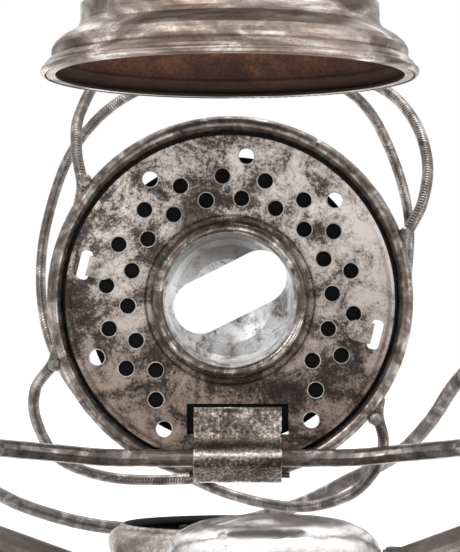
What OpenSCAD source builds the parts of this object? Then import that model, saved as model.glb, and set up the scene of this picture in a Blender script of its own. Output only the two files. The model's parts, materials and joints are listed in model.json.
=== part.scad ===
// Tubular hanging lantern with its globe basket tipped back.
// Origin: centre of the foot ring, on the axis of the burner. +Z is up, -Y is the front.

/* [Fount] */
// Radius of the fuel tank
fount_r = 70; // [68:1:76]
// Height of the tank wall up to its shoulder
fount_wall_h = 28; // [24:1:29]
// Thickness of the pressed sheet steel
sheet = 0.7; // [0.6:0.1:0.9]

/* [Filler] */
// Sideways place of the filler neck
filler_x = 9; // [4:1:12]
// Distance of the filler neck in front of the axis
filler_front = 51; // [50.8:0.1:53]
// Outer radius of the filler neck
neck_r = 16.5; // [14:0.5:16.5]
// Outer radius of the filler cap
cap_r = 22.4; // [21:0.1:22.4]

/* [Air tubes] */
// Distance of each side tube from the axis
tube_x = 72; // [71:1:76]
// Outer radius of the side tubes
tube_r = 8.5; // [7.5:0.5:8.5]
// Outer radius of the air chamber round the burner
chamber_r = 28; // [26:0.5:28]
// Height of the air chamber's rim
chamber_top = 72; // [70:1:73]
// Radius of the bend that turns the air chamber's wall in to its mouth
mouth_bend_r = 3.4; // [2.5:0.1:3.6]

/* [Crown] */
// Outer radius of the air drum at the top
drum_r = 46; // [44:1:50]
// Height where the drum starts
drum_z = 224; // [222:1:226]

/* [Hood] */
// Height of the hood's lower rim
hood_z = 174.7; // [173:0.1:176]
// Radius of the hood's lower rim
hood_r = 43.8; // [42:0.1:44]
// Radius of the hood's tube
hood_tube_r = 33.9; // [32:0.1:33.9]

/* [Globe basket] */
// Radius of the perforated plate
plate_r = 41.2; // [40.8:0.1:41.5]
// Radius of the basket's rolled ring, to the middle of its wire
ring_r = 44.1; // [44.1:0.1:44.3]
// Radius of the two crossed guard wires
guard_wire_r = 1.5; // [1:0.1:1.5]
// Radius of the air holes in the plate
hole_r = 1.95; // [1.5:0.05:2.1]
// Length of the flame slot
slot_l = 30.5; // [26:0.5:30.5]
// Width of the flame slot
slot_w = 13.6; // [10:0.1:14]
// Distance of the flame slot from the middle of the burner cone
slot_rise = 2.2; // [0:0.1:2.2]

/* [Carriage] */
// Height of the hinge wire, with the carriage raised
hinge_z = 84.9; // [84.9:0.1:86]
// Distance of the hinge wire behind the axis
hinge_y = 40.3; // [40.3:0.1:41]
// Radius of the hinge wire
hinge_wire_r = 2.2; // [1.9:0.05:2.2]

/* [Bail] */
// Height of the bail's ears
ear_z = 200; // [198:1:204]
// Radius of the bail's wire
bail_r = 2; // [1.5:0.1:2]

/* [Wick] */
// Width of the wick
wick_w = 22; // [18:1:22]
// Thickness of the wick
wick_t = 2.6; // [2:0.1:2.6]

/* [Hidden] */
$fn = 96;

// A gap between two faces that only rest on each other
seat_gap = 0.05;
// A gap between pieces that move past each other
slide_gap = 0.3;

steel = "#8c857b";
dark_steel = "#5f574f";
bright_steel = "#b9b7b2";
brass = "#a08a5a";
cotton = "#ddd6c4";

// Fount
fount_top_z = fount_wall_h + 14.5;
collar_r = 17;
foot_r = fount_r - 4;
shoulder = [[fount_r, 1.4], [fount_r, fount_wall_h], [fount_r - 0.8, fount_wall_h + 4],
    [fount_r - 3.5, fount_wall_h + 7.6], [fount_r - 9, fount_wall_h + 10.6],
    [fount_r - 18, fount_wall_h + 12.4], [fount_r - 36, fount_wall_h + 13.8],
    [collar_r, fount_top_z]];

// Side tubes: a corner point where the upright and each sloping arm would meet
tube_wall = 0.8;
arm_slope = 19.7;
arm_corner_z = 69.1;
arm_bend_r = 12;
crown_slope = 20;
crown_corner_z = 226;
crown_bend_r = 16;

// Burner and wick, turned with the flame slot
slot_turn = -26.5;
wick_wall = 0.7;
wick_gap = 0.3;
wick_tube_top = 71;
wick_top = 71.6;
wheel_r = 4.2;
shaft_r = 1.3;
shaft_z = 61;
shaft_offset = wick_t / 2 + wheel_r + 0.15;
knob_r = 7.5;

// Globe basket. Its own frame is the closed one: plate flat, Z up through the globe.
plate_y = 43.8;
plate_z = hinge_z + 39.4;
ring_wire_r = 1.9;
ring_lift = 2;
ring_offset = 0.3;
ring_flat = 12.8;
strap_x = 1.9;
strap_w = 22;
strap_t = 0.6;
opening_r = 16.5;
seat_r = 36;
tab_angles = [-166.5, -346.5];
tab_w = 5.2;
skirt_z = 4.1;
strap_gap = 15;
row_pitch = 20;

// Hood and chimney
hood_tube_top = 224;
sleeve_z = 218;
drum_top = drum_z + 28;
cap_z = drum_top + 14;
rod_r = 1.5;

// Bail: hangs behind the lantern, leaning away from it
bail_lean = 45;
ear_x = 86.8;
bail_corner_r = 2.9;
bail_bend = [[86.8, 5], [88, 25], [86, 60], [80, 95], [71.5, 120], [61.5, 138], [56, 152], [47.5, 166],
    [34, 177], [20, 187.5], [2, 195.5], [-17, 198.5], [-35, 197.5], [-51, 192.5], [-67, 182.5],
    [-83, 162], [-94, 132], [-98.5, 92], [-95.5, 48], [-89, 18], [-86.8, 5]];

// Guard wires, bent by hand round the globe: across, towards the front and up, in the basket's frame
guard_left = [[43.9, 16.5, 2], [48.8, 25, 6], [50.6, 36, 13], [47.6, 48, 22.5], [39, 57.5, 31.5],
    [20, 63.5, 40], [-2, 64, 47.5], [-27, 58.5, 57], [-43, 45, 65], [-51.3, 25, 71], [-53.4, 6, 72],
    [-50, -11.5, 71], [-40.5, -26.5, 67], [-23.5, -40, 59.5], [-4, -50, 47.5], [16, -53.8, 32],
    [30, -50.3, 19.5], [37, -42.5, 8.5], [38.2, -35.5, 4.5], [36.4, -29.7, 2]];
guard_right = [[-36.4, 29.8, 2], [-39, 38.5, 7], [-38.6, 48.5, 15], [-32, 60, 25.5], [-12, 67.5, 36.5],
    [8, 68.2, 45], [24, 63.5, 51.5], [37.5, 55, 58], [46, 40.7, 66], [50.4, 25, 71], [50, 9, 72],
    [48, -6.5, 71], [43.2, -21, 67.5], [33.5, -33, 62], [19.5, -41.5, 56], [2, -46, 50.5],
    [-15, -47.3, 44.5], [-32, -46.3, 37.5], [-44.5, -41, 27.5], [-49.6, -31, 16], [-49.3, -22.5, 8],
    [-44, -16, 2]];

function unit(v) = v / norm(v);

// A point on a smooth curve through b and c
function spline_point(a, b, c, d, t) =
    0.5 * (2 * b + (c - a) * t + (2 * a - 5 * b + 4 * c - d) * t * t + (3 * b - a - 3 * c + d) * t * t * t);

function spline(pts, steps) =
    let (n = len(pts), p = concat([2 * pts[0] - pts[1]], pts, [2 * pts[n - 1] - pts[n - 2]]))
    concat([for (i = [1:n - 1], k = [0:steps - 1])
        spline_point(p[i - 1], p[i], p[i + 1], p[i + 2], k / steps)], [pts[n - 1]]);

function arc(centre, r, from, to, steps) =
    [for (k = [0:steps]) let (a = from + (to - from) * k / steps) centre + r * [cos(a), sin(a)]];

// A round wire along a path. sides_up gives each point a direction that isn't along the wire.
module bent_wire(path, sides_up, r, sides = 10) {
    n = len(path);
    points = [for (i = [0:n - 1])
        let (t = unit(path[min(i + 1, n - 1)] - path[max(i - 1, 0)]),
            a = unit(sides_up[i] - (sides_up[i] * t) * t),
            b = cross(t, a))
        for (k = [0:sides - 1]) path[i] + r * (a * cos(360 * k / sides) + b * sin(360 * k / sides))];
    walls = [for (i = [0:n - 2], k = [0:sides - 1])
        [i * sides + k, (i + 1) * sides + k, (i + 1) * sides + (k + 1) % sides, i * sides + (k + 1) % sides]];
    start_cap = [for (k = [0:sides - 1]) k];
    end_cap = [for (k = [sides - 1:-1:0]) (n - 1) * sides + k];
    polyhedron(points, concat(walls, [start_cap, end_cap]), convexity = 10);
}

// A round tube along a path, with an open bore
module bent_tube(path, up, outer, inner, sides) {
    n = len(path);
    points = [for (r = [outer, inner], i = [0:n - 1])
        let (t = unit(path[min(i + 1, n - 1)] - path[max(i - 1, 0)]),
            a = unit(up - (up * t) * t),
            b = cross(t, a))
        for (k = [0:sides - 1]) path[i] + r * (a * cos(360 * k / sides) + b * sin(360 * k / sides))];
    bore = n * sides;
    outside = [for (i = [0:n - 2], k = [0:sides - 1])
        [i * sides + k, (i + 1) * sides + k, (i + 1) * sides + (k + 1) % sides, i * sides + (k + 1) % sides]];
    inside = [for (f = outside) [bore + f[3], bore + f[2], bore + f[1], bore + f[0]]];
    start_rim = [for (k = [0:sides - 1])
        [k, (k + 1) % sides, bore + (k + 1) % sides, bore + k]];
    last = (n - 1) * sides;
    end_rim = [for (k = [0:sides - 1])
        [last + (k + 1) % sides, last + k, bore + last + k, bore + last + (k + 1) % sides]];
    polyhedron(points, concat(outside, inside, start_rim, end_rim), convexity = 10);
}

module ring(outer, inner, h) {
    difference() {
        cylinder(h = h, r = outer);
        translate([0, 0, -1])
            cylinder(h = h + 2, r = inner);
    }
}

// ---------- fount ----------

module fount_solid(extra = 0) {
    rotate_extrude()
        polygon(concat([[0, 1.4]], [for (p = shoulder) p + [extra, extra]], [[0, fount_top_z + extra]]));
}

module fount_base() {
    color(dark_steel)
        rotate_extrude() {
            // the foot bead is flat where it stands
            intersection() {
                translate([foot_r, 1])
                    circle(r = 1.4, $fn = 32);
                translate([foot_r - 5, 0])
                    square([10, 5]);
            }
            polygon([[0, 4], [foot_r - 2.4, 4], [foot_r - 0.6, 2], [foot_r + 0.6, 2],
                [foot_r + 0.6, 2.9], [foot_r - 0.8, 3], [foot_r - 2, 4.8], [0, 4.8]]);
        }
}

module fount_shell() {
    inner = [for (p = shoulder) p - [sheet, sheet]];
    color(steel)
        difference() {
            rotate_extrude()
                polygon(concat([[foot_r + 0.7, 3], [fount_r, 3]],
                    [for (i = [1:len(shoulder) - 1]) shoulder[i]],
                    [for (i = [len(inner) - 1:-1:1]) inner[i]],
                    [[fount_r - sheet, 3.8], [foot_r + 0.7, 3.8]]));
            translate([filler_x, -filler_front, 20])
                cylinder(h = 60, r = neck_r - 1.2);
            translate([0, 0, 20])
                cylinder(h = 60, r = collar_r + seat_gap);
        }
}

module fount_collar() {
    color(brass)
        translate([0, 0, fount_top_z - 3])
            ring(collar_r, 15.6, 5.5);
}

module filler_neck() {
    color(steel)
        translate([filler_x, -filler_front, 0])
            difference() {
                translate([0, 0, fount_wall_h])
                    ring(neck_r, neck_r - 1.2, 72 - fount_wall_h);
                translate([-filler_x, filler_front, 0])
                    fount_solid(seat_gap);
            }
}

module cap_gasket() {
    color("#3a3029")
        translate([filler_x, -filler_front, 72 + seat_gap])
            ring(neck_r, neck_r - 2.5, 1.3);
}

module filler_cap() {
    dome = [[cap_r, 60], [cap_r, 69], [cap_r - 0.5, 71.3], [cap_r - 1.9, 73.2], [cap_r - 4.9, 75.1],
        [cap_r - 8.9, 76.4], [cap_r - 15.7, 77.3], [0, 77.6]];
    color(bright_steel)
        translate([filler_x, -filler_front, 0])
            difference() {
                union() {
                    rotate_extrude()
                        polygon(concat(dome, [[0, 76.7], [cap_r - 15.5, 76.4], [cap_r - 9.2, 75.4],
                            [cap_r - 5.4, 74.2], [cap_r - 2.6, 72.4], [cap_r - 1.4, 70.5],
                            [cap_r - 1, 69], [cap_r - 1, 60]]));
                    translate([0, 0, 62])
                        ring(neck_r + slide_gap + 1, neck_r + slide_gap, 12.2);
                    translate([0, 0, 73.6])
                        ring(neck_r + slide_gap + 1, neck_r - 3, 0.8);
                    translate([0, 0, 64])
                        ring(cap_r - 0.5, neck_r + slide_gap + 0.5, 0.8);
                }
                for (k = [0:35])
                    rotate([0, 0, k * 10])
                        translate([cap_r + 0.35, 0, 59])
                            cylinder(h = 9, r = 0.8, $fn = 20);
            }
}

// ---------- air chamber and side tubes ----------

// The straight line of one sloping lower arm, from its corner towards the axis, on the +X side
module lower_arm(r, from, h) {
    translate([tube_x, 0, arm_corner_z])
        rotate([0, -90 - arm_slope, 0])
            translate([0, 0, from])
                cylinder(h = h, r = r);
}

module side_tube() {
    bend = 90 - arm_slope;
    tangent = arm_bend_r * tan(bend / 2);
    top_bend = 90 - crown_slope;
    top_tangent = crown_bend_r * tan(top_bend / 2);
    low_end = [tube_x, arm_corner_z] - 52 * [cos(arm_slope), sin(arm_slope)];
    high_end = [tube_x, crown_corner_z] + 42 * [-cos(crown_slope), sin(crown_slope)];
    line = concat([low_end],
        arc([tube_x - arm_bend_r, arm_corner_z + tangent], arm_bend_r, -bend, 0, 6),
        arc([tube_x - crown_bend_r, crown_corner_z - top_tangent], crown_bend_r, 0, top_bend, 6),
        [high_end]);
    path = [for (p = line) [p.x, 0, p.y]];
    color(steel)
        difference() {
            bent_tube(path, [0, 1, 0], tube_r, tube_r - tube_wall, 32);
            translate([0, 0, 30])
                cylinder(h = 70, r = chamber_r + seat_gap);
            translate([0, 0, drum_z - 14])
                cylinder(h = 60, r = drum_r + seat_gap);
        }
}

module air_chamber() {
    low = fount_top_z + 0.6;
    bend = [chamber_r - mouth_bend_r, chamber_top - 0.8 - mouth_bend_r];
    color(steel)
        difference() {
            union() {
                translate([0, 0, low])
                    ring(chamber_r, chamber_r - 0.8, bend.y - low + 0.1);
                translate([0, 0, low])
                    ring(chamber_r - 0.4, collar_r + 0.4, 0.8);
                // shoulder bent in to the mouth, with a rolled lip
                rotate_extrude()
                    polygon(concat(arc(bend, mouth_bend_r, 0, 90, 8),
                        arc(bend, mouth_bend_r - 0.8, 90, 0, 8)));
                translate([0, 0, chamber_top - 0.9])
                    rotate_extrude()
                        translate([bend.x - 0.2, 0])
                            circle(r = 0.9, $fn = 24);
            }
            for (side = [0, 1])
                mirror([side, 0, 0])
                    lower_arm(tube_r - tube_wall, 30, 22);
            // hole for the wick shaft
            rotate([0, 0, slot_turn])
                translate([chamber_r - 8, -shaft_offset, shaft_z])
                    rotate([0, 90, 0])
                        cylinder(h = 12, r = shaft_r + 0.5, $fn = 32);
        }
}

module tube_brace() {
    color(dark_steel)
        difference() {
            translate([55, -0.8, 30])
                cube([10, 1.6, 32]);
            lower_arm(tube_r + seat_gap, 0, 40);
            fount_solid(seat_gap);
        }
}

// ---------- crown ----------

module crown_drum() {
    color(steel)
        difference() {
            rotate_extrude() {
                polygon([[drum_r - 0.8, drum_z], [drum_r, drum_z], [drum_r, drum_top - 3],
                    [drum_r - 3, drum_top], [30, drum_top], [30, drum_top - 0.8],
                    [drum_r - 3.4, drum_top - 0.8], [drum_r - 0.8, drum_top - 3.4]]);
                polygon([[35, drum_z], [drum_r - 0.4, drum_z],
                    [drum_r - 0.4, drum_z + 0.8], [35, drum_z + 0.8]]);
                polygon([[34.2, sleeve_z], [35, sleeve_z], [35, drum_top - 0.4], [34.2, drum_top - 0.4]]);
                translate([34.8, sleeve_z + 0.8])
                    circle(r = 0.6, $fn = 24);
                translate([drum_r - 0.2, drum_z + 0.6])
                    circle(r = 0.8, $fn = 24);
            }
            for (side = [0, 1])
                mirror([side, 0, 0])
                    translate([tube_x, 0, crown_corner_z])
                        rotate([0, -90 + crown_slope, 0])
                            translate([0, 0, 22])
                                cylinder(h = 10, r = tube_r - tube_wall);
        }
}

module chimney_neck() {
    slots = 14;
    color(dark_steel)
        difference() {
            translate([0, 0, drum_top + seat_gap])
                rotate_extrude()
                    polygon([[29.4, 0], [33, 0], [33, 0.8], [30.1, 1.2], [30.1, 17.6], [29.4, 17.9]]);
            for (k = [0:slots - 1])
                rotate([0, 0, 360 * k / slots])
                    translate([25, -2.2, drum_top + 3])
                        cube([10, 4.4, 10]);
        }
}

module chimney_cap() {
    color(steel)
        rotate_extrude() {
            polygon([[38, cap_z - 0.6], [38.6, cap_z], [37.6, cap_z + 1.8], [28, cap_z + 5.6],
                [14, cap_z + 9.6], [4, cap_z + 11], [rod_r + slide_gap, cap_z + 11],
                [rod_r + slide_gap, cap_z + 10.2], [4, cap_z + 10.2], [13.8, cap_z + 8.8],
                [27.8, cap_z + 4.8], [36.8, cap_z + 1.1]]);
            translate([37.9, cap_z])
                circle(r = 0.8, $fn = 24);
        }
}

// ---------- hood ----------

module hood_bell() {
    outer = [[hood_r - 0.5, 1.4], [hood_r - 1, 2.4], [hood_r - 2, 3.5], [hood_r - 2.9, 4.2],
        [hood_r - 2.5, 5], [hood_r - 2.6, 6], [hood_r - 3.3, 7.2], [hood_r - 4.6, 8.4],
        [hood_r - 6.4, 9.5], [hood_r - 8.2, 10.6], [hood_tube_r + 1, 11.8], [hood_tube_r + 0.7, 13],
        [hood_tube_r + 0.7, 16.5]];
    inner = [for (p = outer) p - [0.65, 0.3]];
    color(steel)
        translate([0, 0, hood_z])
            rotate_extrude() {
                polygon(concat(outer, [for (i = [len(inner) - 1:-1:0]) inner[i]]));
                translate([hood_r - 0.9, 0.9])
                    circle(r = 0.9, $fn = 24);
                // the lip under the flared rim
                polygon([[hood_r - 3.4, 0.15], [hood_r - 0.9, 0.15],
                    [hood_r - 0.9, 0.8], [hood_r - 3.4, 0.8]]);
            }
}

module hood_tube() {
    low = hood_z + 12.9;
    color(steel)
        translate([0, 0, low])
            ring(hood_tube_r, hood_tube_r - 0.7, hood_tube_top - low);
}

module hood_bridge() {
    reach = hood_tube_r - 0.7 - seat_gap;
    color(dark_steel)
        difference() {
            intersection() {
                for (turn = [0, 90])
                    rotate([0, 0, turn])
                        translate([-reach, -3, hood_tube_top - 5])
                            cube([2 * reach, 6, 1.2]);
                cylinder(h = 300, r = reach);
            }
            cylinder(h = 300, r = rod_r + seat_gap);
        }
}

module lift_rod() {
    loop_r = 10.5;
    collar_z = cap_z + 11 + slide_gap;
    color(dark_steel) {
        translate([0, 0, hood_tube_top - 6])
            cylinder(h = collar_z + 2 - hood_tube_top + 6, r = rod_r, $fn = 48);
        translate([0, 0, hood_tube_top - 6.4])
            cylinder(h = 1.3, r = 3);
        translate([0, 0, collar_z])
            cylinder(h = 1.6, r = 3.4);
        translate([0, 0, collar_z + 1.4 + loop_r + rod_r])
            rotate([90, 0, 0])
                rotate_extrude()
                    translate([loop_r, 0])
                        circle(r = rod_r, $fn = 32);
    }
}

module hood_spring() {
    turns = 11;
    coil_r = 4;
    low = hood_tube_top - 3;
    high = cap_z + 9.2;
    steps = turns * 10;
    path = [for (i = [0:steps]) [coil_r * cos(36 * i), coil_r * sin(36 * i), low + (high - low) * i / steps]];
    color(dark_steel)
        bent_wire(path, [for (p = path) [p.x, p.y, 0]], 0.6, 6);
}

// ---------- globe basket, built closed and then tipped back ----------

module tipped_back() {
    translate([0, plate_y, plate_z])
        rotate([-90, 0, 0])
            children();
}

// A place in the plate, by the angle seen from below the closed plate with the front up
module at_polar(angle, r) {
    rotate([0, 0, -angle])
        translate([r, 0, 0])
            children();
}

module hole(angle, r) {
    at_polar(angle, r)
        translate([0, 0, -3])
            cylinder(h = 6, r = hole_r, $fn = 32);
}

module globe_plate() {
    color(steel)
        tipped_back()
            difference() {
                rotate_extrude() {
                    polygon([[17.5, 0], [19.4, 0], [19.9, 0.7], [20.9, 0.7], [21.5, 0], [plate_r - 1.6, 0],
                        [plate_r - 0.8, -0.9], [plate_r, -0.9], [plate_r, -0.3], [plate_r - 0.4, -0.3],
                        [plate_r - 1.2, 0.6], [21.8, 0.6], [21.2, 1.3],
                        [19.6, 1.3], [19.1, 0.6], [17.5, 0.6]]);
                    // the skirt behind the rim, turned out behind the ring
                    polygon([[plate_r - 1.4, 0.3], [plate_r - 0.8, 0.1], [plate_r - 0.8, skirt_z],
                        [ring_r, skirt_z], [ring_r, skirt_z + 0.6], [plate_r - 1.4, skirt_z + 0.6]]);
                }
                translate([-strap_gap, 34, 0.8])
                    cube([2 * strap_gap, 12, 6]);
                for (k = [-5:8])
                    hole(83.5 + k * row_pitch - 20, 25.6);
                for (k = [0:14])
                    hole(313.5 + k * row_pitch, 31.1);
                for (angle = [43.5, 83.5, 123.5, 203.5, 243, 304])
                    hole(angle, 36.25);
                for (angle = tab_angles)
                    at_polar(-angle, 37.4)
                        tab_slot(3, 7.4, 1.1);
                translate([strap_x - 12.7, 26, -3])
                    cube([25.4, 7.6, 6]);
            }
}

// A slot with rounded corners
module tab_slot(w, l, r) {
    cube([w, l - 2 * r, 6], center = true);
    cube([w - 2 * r, l, 6], center = true);
    for (x = [-1, 1], y = [-1, 1])
        translate([x * (w / 2 - r), y * (l / 2 - r), -3])
            cylinder(h = 6, r = r, $fn = 24);
}

module plate_collar() {
    color(steel)
        tipped_back()
            rotate_extrude() {
                translate([18, -1.3])
                    circle(r = 1.25, $fn = 32);
                polygon([[opening_r + 0.25, -1.3], [17.4, -1.3], [17.4, 1.6], [opening_r + 0.25, 1.6]]);
            }
}

module burner_cone() {
    outer = [[opening_r + 0.2, -0.4], [opening_r + 0.1, 3], [opening_r - 0.4, 6], [opening_r - 1.9, 8.8],
        [opening_r - 5.5, 11.2], [6, 12.4], [0, 12.8]];
    inner = [[0, 12.2], [6, 11.8], [opening_r - 5.8, 10.6], [opening_r - 2.4, 8.4], [opening_r - 1, 5.8],
        [opening_r - 0.5, 3], [opening_r - 0.4, -0.4]];
    color(bright_steel)
        tipped_back()
            difference() {
                rotate_extrude()
                    polygon(concat(outer, inner));
                translate([0, -slot_rise, 0])
                    rotate([0, 0, slot_turn])
                        linear_extrude(height = 20)
                            for (side = [-1, 1]) {
                                translate([side * (slot_l - slot_w) / 2, 0])
                                    circle(d = slot_w);
                                square([slot_l - slot_w, slot_w], center = true);
                            }
            }
}

module globe_seat() {
    color(dark_steel)
        tipped_back() {
            rotate_extrude()
                polygon([[22, 1.4], [seat_r - 2.4, 1.4], [seat_r - 0.7, 2.4],
                    [seat_r - 0.7, 6.4], [seat_r, 6.6],
                    [seat_r, 2], [seat_r - 2, 0.7], [22, 0.7]]);
            for (angle = tab_angles)
                at_polar(-angle, 0) {
                    translate([seat_r - 2, -tab_w / 2, 0.7])
                        cube([2.6, tab_w, 0.6]);
                    translate([seat_r, -tab_w / 2, -0.75])
                        cube([0.6, tab_w, 2]);
                    translate([0, 0, -0.75])
                        linear_extrude(height = 0.7) {
                            translate([seat_r - 3.4, -tab_w / 2])
                                square([3.9, tab_w]);
                            translate([seat_r - 3.4, 0])
                                circle(r = tab_w / 2, $fn = 32);
                        }
                }
        }
}

// The ring lies round the plate. Its two ends meet on a straight length inside the hinge strap.
module basket_ring() {
    flat_angle = asin(ring_flat / ring_r);
    flat_y = ring_r * cos(flat_angle);
    round_part = arc([0, 0], ring_r, 90 + flat_angle, 450 - flat_angle, 60);
    path = [for (p = concat([[-seat_gap, flat_y]], round_part, [[seat_gap, flat_y]])) [p.x, p.y, 0]];
    color(dark_steel)
        tipped_back()
            translate([0, -ring_offset, ring_lift])
                bent_wire(path, [for (p = path) [0, 0, 1]], ring_wire_r, 12);
}

module guard(points) {
    path = [for (p = spline(points, 3)) [p.x, -p.y, p.z]];
    color(dark_steel)
        tipped_back()
            bent_wire(path, [for (p = path) [p.x, p.y, 0]], guard_wire_r, 8);
}

// The strap is one strip of sheet: flat on the plate, over the hinge wire, and curled round the ring
module hinge_strap() {
    wire = [hinge_y, hinge_z];
    curl = [plate_y + 1.5, plate_z - 42.45];
    wire_bend = hinge_wire_r + 0.1 + strap_t / 2;
    curl_bend = 2.7 + strap_t / 2;
    flat_y = plate_y - seat_gap - strap_t / 2;
    knee = [flat_y, hinge_z + 5.4];
    to_knee = knee - wire;
    first = atan2(to_knee.y, to_knee.x) + acos(wire_bend / norm(to_knee));
    to_curl = curl - wire;
    last = 360 + atan2(to_curl.y, to_curl.x) - acos((wire_bend - curl_bend) / norm(to_curl));
    half = strap_t / 2;
    // One face of the sheet: h is half its thickness on the outside of the bends, negative on the inside
    function side(h) = concat([[flat_y - h, plate_z - 26.8], [flat_y - h, knee.y - h / 2]],
        arc(wire, wire_bend + h, first, last, 10), arc(curl, curl_bend + h, last, 400, 14));
    outside = side(half);
    inside = side(-half);
    color(steel)
        translate([strap_x - strap_w / 2, 0, 0])
            rotate([90, 0, 90])
                linear_extrude(height = strap_w)
                    polygon(concat(outside, [for (i = [len(inside) - 1:-1:0]) inside[i]]));
}

module hinge_pin() {
    color(dark_steel)
        translate([strap_x - strap_w / 2 - 1, plate_y + 0.16, plate_z - 43.8])
            rotate([0, 90, 0])
                cylinder(h = strap_w + 3, r = 0.7, $fn = 32);
}

// ---------- carriage and lever ----------

module hinge_wire() {
    straight = 20;
    loop_r = tube_r + slide_gap + hinge_wire_r;
    loop_z = 90;
    reach = [[straight - 1, hinge_y, hinge_z], [31, 39.7, 85.1], [43, 35.6, 86.4], [56, 27, 88],
        [62.5, 15.5, 89.5]];
    loop = arc([tube_x, 0], loop_r, 150, 430, 28);
    path = concat(spline(reach, 3), [for (p = loop) [p.x, p.y, loop_z]]);
    color(dark_steel) {
        translate([-straight, hinge_y, hinge_z])
            rotate([0, 90, 0])
                cylinder(h = 2 * straight, r = hinge_wire_r, $fn = 64);
        for (side = [0, 1])
            mirror([side, 0, 0])
                bent_wire(path, [for (p = path) [0, 0, 1]], hinge_wire_r - 0.02, 12);
    }
}

pivot_x = 87;
pivot_z = 86;
lever_y = -16.2;
lever_t = 1.5;

module lever_bracket() {
    lug_y = lever_y + lever_t + slide_gap;
    color(dark_steel)
        difference() {
            union() {
                translate([tube_x, 0, 98])
                    ring(tube_r + seat_gap + 0.9, tube_r + seat_gap, 8);
                translate([tube_x - 3.5, lug_y, 98])
                    cube([7, -lug_y - tube_r - 0.5, 8]);
                translate([0, lug_y + 0.8, 0])
                    rotate([90, 0, 0])
                        linear_extrude(height = 0.8)
                            polygon([[tube_x - 3.5, 98], [tube_x - 3.5, 106], [tube_x + 3.5, 106],
                                [pivot_x + 4, pivot_z + 3], [pivot_x + 4, pivot_z - 4],
                                [pivot_x - 3, pivot_z - 4]]);
            }
            translate([pivot_x, 0, pivot_z])
                rotate([90, 0, 0])
                    cylinder(h = 40, r = 1.5 + seat_gap, $fn = 48);
        }
}

module lever_pin() {
    color(bright_steel)
        translate([pivot_x, lever_y - 1.6, pivot_z])
            rotate([-90, 0, 0]) {
                cylinder(h = lever_t + 3.2, r = 1.5, $fn = 48);
                cylinder(h = 1.2, r = 2.8, $fn = 48);
            }
}

module lift_lever() {
    toe_x = 70;
    color(steel)
        difference() {
            union() {
                translate([0, lever_y + lever_t, 0])
                    rotate([90, 0, 0])
                        linear_extrude(height = lever_t)
                            polygon([[toe_x - 2, pivot_z - 1.6], [toe_x - 2, pivot_z + 1.4],
                                [pivot_x - 4, pivot_z + 3], [pivot_x + 4, pivot_z + 4],
                                [pivot_x + 14, pivot_z + 8], [pivot_x + 18, pivot_z + 8],
                                [pivot_x + 18, pivot_z + 6.6], [pivot_x + 14, pivot_z + 4],
                                [pivot_x + 4, pivot_z - 4],
                                [pivot_x - 4, pivot_z - 4]]);
                translate([toe_x, lever_y + 0.5, pivot_z])
                    rotate([-90, 0, 0])
                        cylinder(h = 6.6, r = 1.4, $fn = 32);
                translate([pivot_x + 13, lever_y - 7, pivot_z + 6.6])
                    cube([6, 14, 1.4]);
            }
            translate([pivot_x, lever_y - 5, pivot_z])
                rotate([-90, 0, 0])
                    cylinder(h = 12, r = 1.5 + seat_gap, $fn = 48);
        }
}

// ---------- bail ----------

module bail_plane() {
    translate([0, 0, ear_z])
        rotate([bail_lean, 0, 0])
            children();
}

// The wire's ends turn inwards, through the ears
module bail() {
    corner_x = ear_x - bail_corner_r;
    line = concat([[corner_x - 1.7, 0]],
        arc([corner_x, bail_corner_r], bail_corner_r, -90, 0, 5),
        spline(bail_bend, 3),
        arc([-corner_x, bail_corner_r], bail_corner_r, 180, 270, 5),
        [[-corner_x + 1.7, 0]]);
    path = [for (p = line) [p.x, 0, -p.y]];
    color(dark_steel)
        bail_plane()
            bent_wire(path, [for (p = path) [0, 1, 0]], bail_r, 12);
}

module bail_ear() {
    color(steel)
        difference() {
            union() {
                translate([tube_x, 0, ear_z - 6])
                    ring(tube_r + seat_gap + 0.8, tube_r + seat_gap, 12);
                translate([tube_x + tube_r + 0.4, -4.5, ear_z - 6])
                    cube([3.2, 9, 12]);
                // the stop that keeps the bail off the hot hood
                translate([tube_x + tube_r + 0.4, 3.9, ear_z - 8.9])
                    rotate([0, 90, 0])
                        cylinder(h = 7.4, r = 1.2, $fn = 32);
                translate([tube_x + tube_r + 0.4, 2.4, ear_z - 9.9])
                    cube([3.2, 2.1, 5]);
            }
            translate([tube_x + tube_r - 0.5, 0, ear_z])
                rotate([0, 90, 0])
                    cylinder(h = 12, r = bail_r + 0.08, $fn = 48);
            translate([tube_x, 0, ear_z - 12])
                cylinder(h = 30, r = tube_r + seat_gap);
        }
}

// ---------- burner ----------

module burner_base() {
    low = fount_top_z - 2;
    color(brass)
        translate([0, 0, low]) {
            ring(15.5, 13.2, 5);
            translate([0, 0, 5])
                ring(19.5, 13.2, 1);
            difference() {
                cylinder(h = 1, r = 13.4);
                rotate([0, 0, slot_turn])
                    translate([0, 0, 0.5])
                        cube([wick_w + 2 * wick_gap, wick_t + 2 * wick_gap, 4], center = true);
            }
        }
}

module burner_gallery() {
    low = fount_top_z + 4 + seat_gap;
    color(brass)
        difference() {
            translate([0, 0, low])
                rotate_extrude()
                    polygon([[14.5, 0], [19, 0], [22.5, 6], [22.5, 19],
                        [21.8, 19], [21.8, 6.3], [18.6, 0.7], [14.5, 0.7]]);
            for (k = [0:17], row = [0, 1])
                rotate([0, 0, 20 * k + 10 * row])
                    translate([18, 0, low + 14 + 2.7 * row])
                        rotate([0, 90, 0])
                            cylinder(h = 8, r = 0.9, $fn = 20);
            rotate([0, 0, slot_turn])
                translate([8, -shaft_offset, shaft_z])
                    rotate([0, 90, 0])
                        cylinder(h = 22, r = shaft_r + 0.4, $fn = 32);
        }
}

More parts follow.
